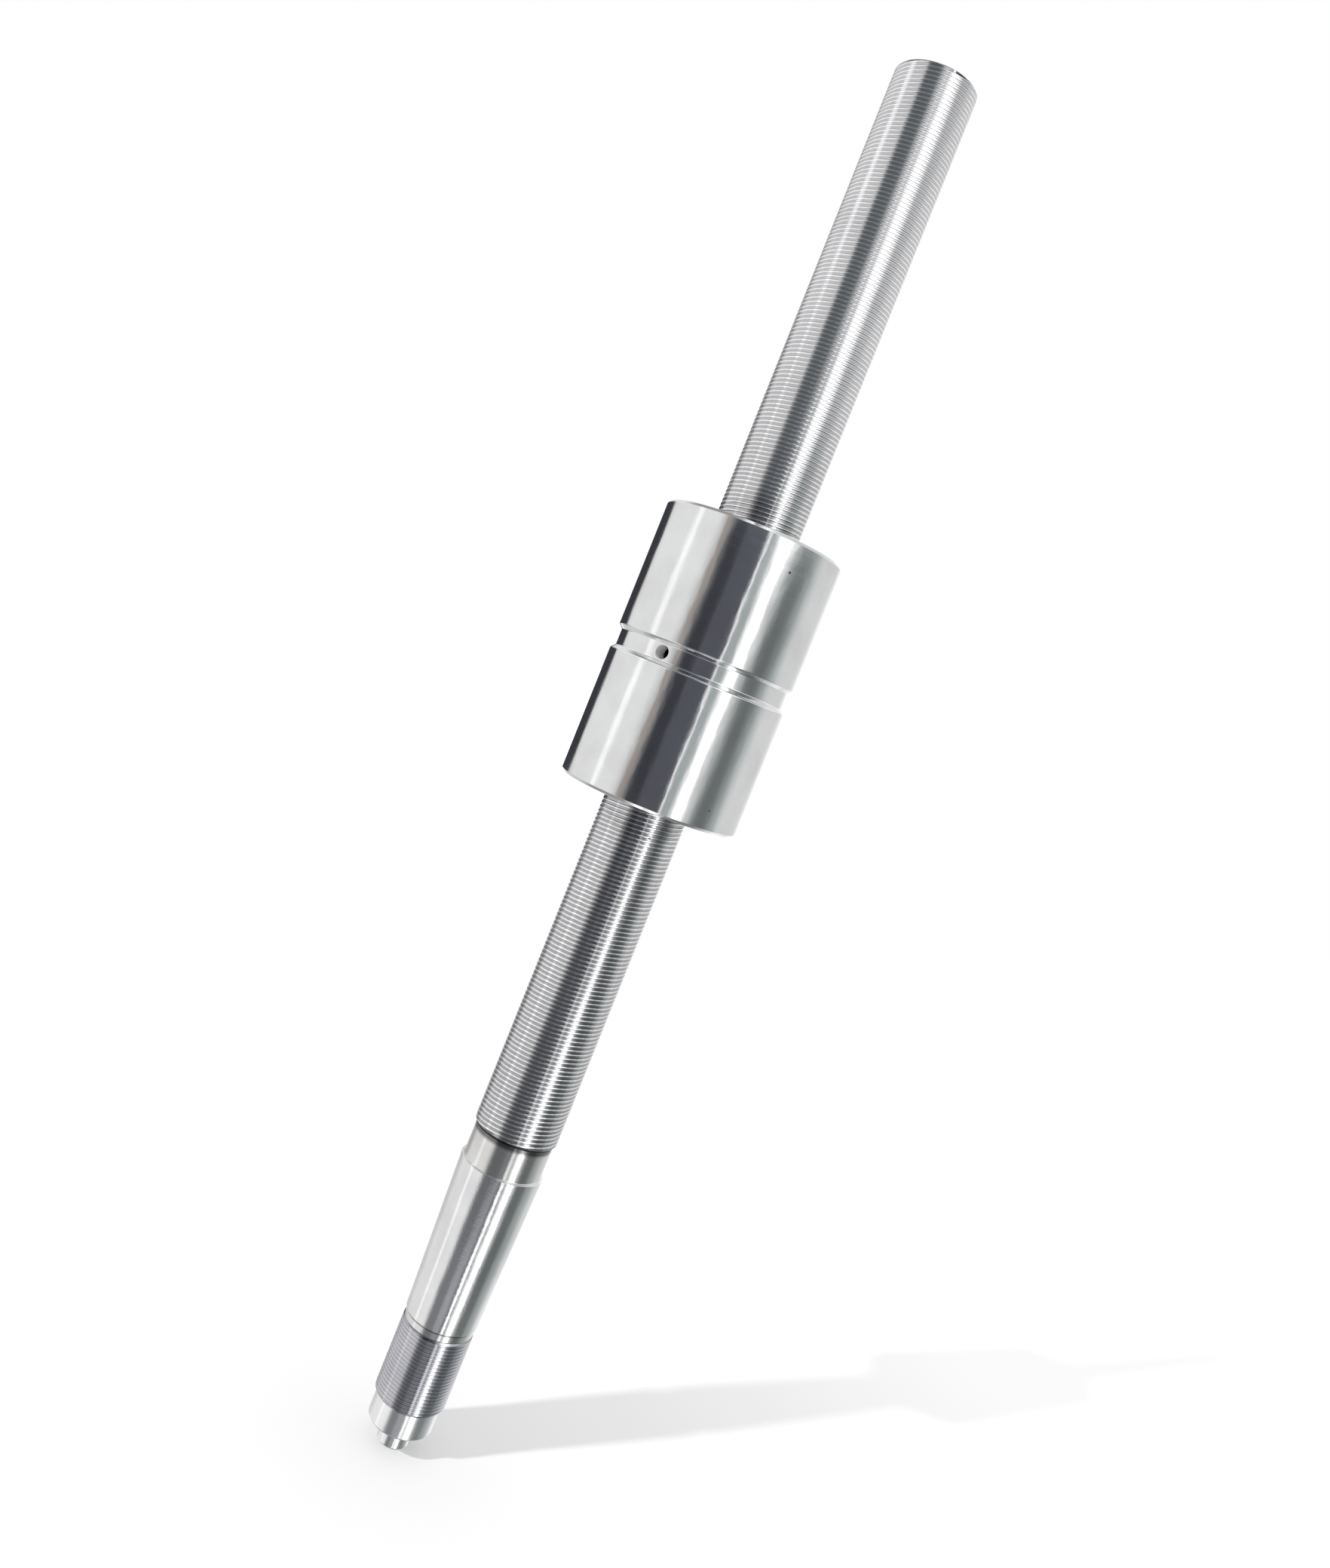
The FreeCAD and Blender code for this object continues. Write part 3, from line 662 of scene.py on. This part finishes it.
PANELS = (
    # name, azimuths, heights, brightness, tint
    ("left wall above", (-150, -125, -62, -45), (8, 16, 34, 44), 1.0, NEUTRAL),
    ("left streak", (-83, -77, -75, -68), ALL_HEIGHTS, 1.15, NEUTRAL),
    ("left back", LEFT_BACK, ALL_HEIGHTS, 0.68, NEUTRAL),
    ("left back above", LEFT_BACK, (14, 22, 40, 50), 0.88, NEUTRAL),
    ("left streak above", (-92, -86, -79, -72), (16, 21, 32, 40), 1.7, NEUTRAL),
    ("right wall", (60, 80, 140, 170), ALL_HEIGHTS, 0.72, NEUTRAL),
    ("right wall below", (60, 88, 104, 134), (-65, -48, -23, -14), 0.42, GREENISH),
    ("right back light", (140, 178, 190, 195), ALL_HEIGHTS, 1.05, NEUTRAL),
    ("right back light below", (120, 150, 190, 195), (-95, -91, -33, -24), 1.05, NEUTRAL),
    ("table", ALL_AZIMUTHS, (-95, -91, -60, -36), 0.24, NEUTRAL),
    ("ceiling", (-125, -100, 100, 125), (30, 50, 91, 95), 0.24, NEUTRAL),
    ("ceiling at left", LEFT_SIDE, (30, 46, 80, 91), 0.35, NEUTRAL),
    ("table at left", LEFT_SIDE, (-91, -80, -56, -40), 0.35, NEUTRAL),
    ("front flag", (-52, -23, 13, 18), FLAG_HEIGHTS, 0.05, BLUISH),
    ("flag edge", (-41, -37, -35, -30), (-12, -8, 8, 12), 0.33, WARM),
    ("table beside the flag", (-75, -62, -47, -32), BELOW, 0.92, NEUTRAL),
    ("front haze", (-15, -9, 13, 18), FLAG_HEIGHTS, 0.1, BLUISH),
    ("table in front", (-50, -24, 12, 16), BELOW, 0.23, COOL),
    ("table glare", (-16, -4, 4, 14), BELOW, 0.39, COOL),
    ("edge gap", (16, 20, 27, 32), (-70, -50, 50, 70), 0.42, GREENISH),
    ("edge light", (14.8, 16.8, 17.2, 19), SIDE_HEIGHTS, 1.1, NEUTRAL),
    ("edge light below", (17, 19.5, 22, 25.5), BELOW, 1.8, NEUTRAL),
    ("key light", (31, 42, 39.3, 47.6), SIDE_HEIGHTS, 3.2, NEUTRAL),
    ("key light below", (38, 43, 45, 52), (-62, -42, -14, -8), 2.5, NEUTRAL),
    ("front haze below", (-40, -28, -6, 10), (-30, -24, -16, -4), 0.15, COOL),
    ("wall beside the flag", (-70, -58, -44, -34), (8, 14, 34, 44), 0.98, NEUTRAL),
    ("front haze above", (-44, -20, 13, 18), (8, 9.5, 40, 60), 0.195, SLATE),
    ("key haze above", (-6, 12, 26, 34), (8, 20, 34, 42), 1.1, NEUTRAL),
    ("key light above", (20, 34, 54, 76), (6, 12, 28, 36), 2.3, NEUTRAL),
    ("right shade", (48, 70, 84, 110), (-60, -40, 10, 20), 0.6, GREENISH),
    ("right wall above", (48, 68, 130, 160), (8, 16, 32, 40), 0.98, NEUTRAL),
    ("right ceiling", (40, 52, 92, 124), (27, 33, 60, 75), 0.15, GREENISH),
    ("right flag", (41, 68, 73, 106), (-20, -12, 6, 10), 0.165, GREENISH),
    ("right flag below", (46, 66, 80, 112), (-38, -30, -14, -8), 0.165, GREENISH),
    ("right table shade", (44, 58, 92, 124), (-64, -50, -40, -32), 0.1, GREENISH),
    ("left shade above", (-166, -150, -142, -128), (2, 8, 10, 20), 0.36, COOL),
    ("left shade below", (-158, -146, -134, -116), (-26, -18, -8, -4), 0.38, COOL),
    ("left limb light", (-195, -190, -166, -148), (-17, -10, -6.4, -5.8), 1.0, NEUTRAL),
    ("left flag", (-200, -185, -134, -127), (-6.4, -5.8, 8, 8.6), 0.045, BLUISH),
    ("lamp overhead", ALL_AZIMUTHS, (74, 84, 91, 95), 1.4, NEUTRAL),
    ("floor underneath", ALL_AZIMUTHS, (-95, -91, -84, -74), 1.4, NEUTRAL),
)
# The plain grey that lights what isn't mirrored.
AMBIENT = 0.75


def window(tree, value, fades):
    """1 between the middle two angles, fading to 0 at the outer two."""
    start, full, end, gone = fades
    fade_in, fade_out = ramp(tree, value, start, full), ramp(tree, value, end, gone, 1.0, 0.0)
    return maths(tree, "MULTIPLY", fade_in, fade_out)


def light_studio():
    """The world: white to the camera, the studio's panels in reflections, plain grey otherwise."""
    world = bpy.data.worlds.new("studio")
    bpy.context.scene.world = world
    world.use_nodes = True
    tree = world.node_tree
    way = node(tree, "ShaderNodeTexCoord").outputs["Generated"]
    x, y, z = node(tree, "ShaderNodeSeparateXYZ", {0: way}).outputs
    azimuth = maths(tree, "DEGREES", maths(tree, "ARCTAN2", x, maths(tree, "MULTIPLY", y, -1.0)))
    elevation = maths(tree, "DEGREES", maths(tree, "ARCSINE", z))
    studio = (STUDIO_GREY,) * 3
    for name, azimuths, heights, brightness, tint_of_panel in PANELS:
        round_about, up = window(tree, azimuth, azimuths), window(tree, elevation, heights)
        share = maths(tree, "MULTIPLY", round_about, up)
        studio = blend(tree, share, studio, tuple(brightness * part for part in tint_of_panel))
        studio.node.label = name
    rays = node(tree, "ShaderNodeLightPath").outputs
    mirrored = maths(tree, "MAXIMUM", rays["Is Glossy Ray"], rays["Is Transmission Ray"])
    colour = blend(tree, mirrored, (AMBIENT,) * 3, studio)
    colour = blend(tree, rays["Is Camera Ray"], colour, (1, 1, 1))
    tree.links.new(colour, tree.nodes["Background"].inputs["Color"])


# The key lamp stands in front on the left, so that the shadow falls to the right and back.
KEY_AZIMUTH, KEY_HEIGHT = math.radians(-50), math.radians(38)
KEY_STRENGTH, KEY_ANGLE = 1.4, math.radians(2.5)
FLOOR_SIZE = 40
FLOOR_GREY, FLOOR_DARKER_GREY, FLOOR_CLOUD_SCALE = 0.9, 0.89, 3
# What the camera sees on top of the light on the floor, so that the floor meets the white and
# the shadow fades with the distance from the tip.
FLOOR_GLOW, FAR_GLOW, GLOW_REACH = 0.11, 0.3, 0.32


def make_key_lamp():
    data = bpy.data.lights.new("key", "SUN")
    data.energy, data.angle = KEY_STRENGTH, KEY_ANGLE
    lamp = bpy.data.objects.new("key", data)
    way = Vector((math.sin(KEY_AZIMUTH) * math.cos(KEY_HEIGHT),
                  -math.cos(KEY_AZIMUTH) * math.cos(KEY_HEIGHT), math.sin(KEY_HEIGHT)))
    lamp.rotation_mode = "QUATERNION"
    lamp.rotation_quaternion = way.to_track_quat("Z", "Y")
    lamp.visible_glossy = False
    bpy.context.scene.collection.objects.link(lamp)


def floor_paper():
    """Matt paper, which glows a little where the camera sees it."""
    material = bpy.data.materials.new("floor")
    material.use_nodes = True
    tree = material.node_tree
    tree.nodes.remove(tree.nodes["Principled BSDF"])
    clouds = noise(tree, FLOOR_CLOUD_SCALE)
    grey = blend(tree, clouds, (FLOOR_GREY,) * 3, (FLOOR_DARKER_GREY,) * 3)
    paper = node(tree, "ShaderNodeBsdfDiffuse", {"Color": grey})
    seen = node(tree, "ShaderNodeLightPath").outputs["Is Camera Ray"]
    white = ramp(tree, distance_from_axis(tree), 0.0, GLOW_REACH, FLOOR_GLOW, FAR_GLOW)
    glow = node(tree, "ShaderNodeEmission", {"Strength": maths(tree, "MULTIPLY", seen, white)})
    both = node(tree, "ShaderNodeAddShader", {0: paper.outputs[0], 1: glow.outputs[0]})
    tree.links.new(both.outputs[0], tree.nodes["Material Output"].inputs["Surface"])
    return material


def make_floor():
    """A level floor at the height of the tip, which the steel doesn't mirror."""
    half = FLOOR_SIZE / 2
    corners = [(-half, -half, 0), (half, -half, 0), (half, half, 0), (-half, half, 0)]
    mesh = bpy.data.meshes.new("floor")
    mesh.from_pydata(corners, [], [(0, 1, 2, 3)])
    mesh.materials.append(floor_paper())
    floor = bpy.data.objects.new("floor", mesh)
    floor.visible_glossy = False
    bpy.context.scene.collection.objects.link(floor)


bpy.context.scene.view_settings.view_transform = "Standard"
make_camera()
light_studio()
make_key_lamp()
make_floor()
make_object()
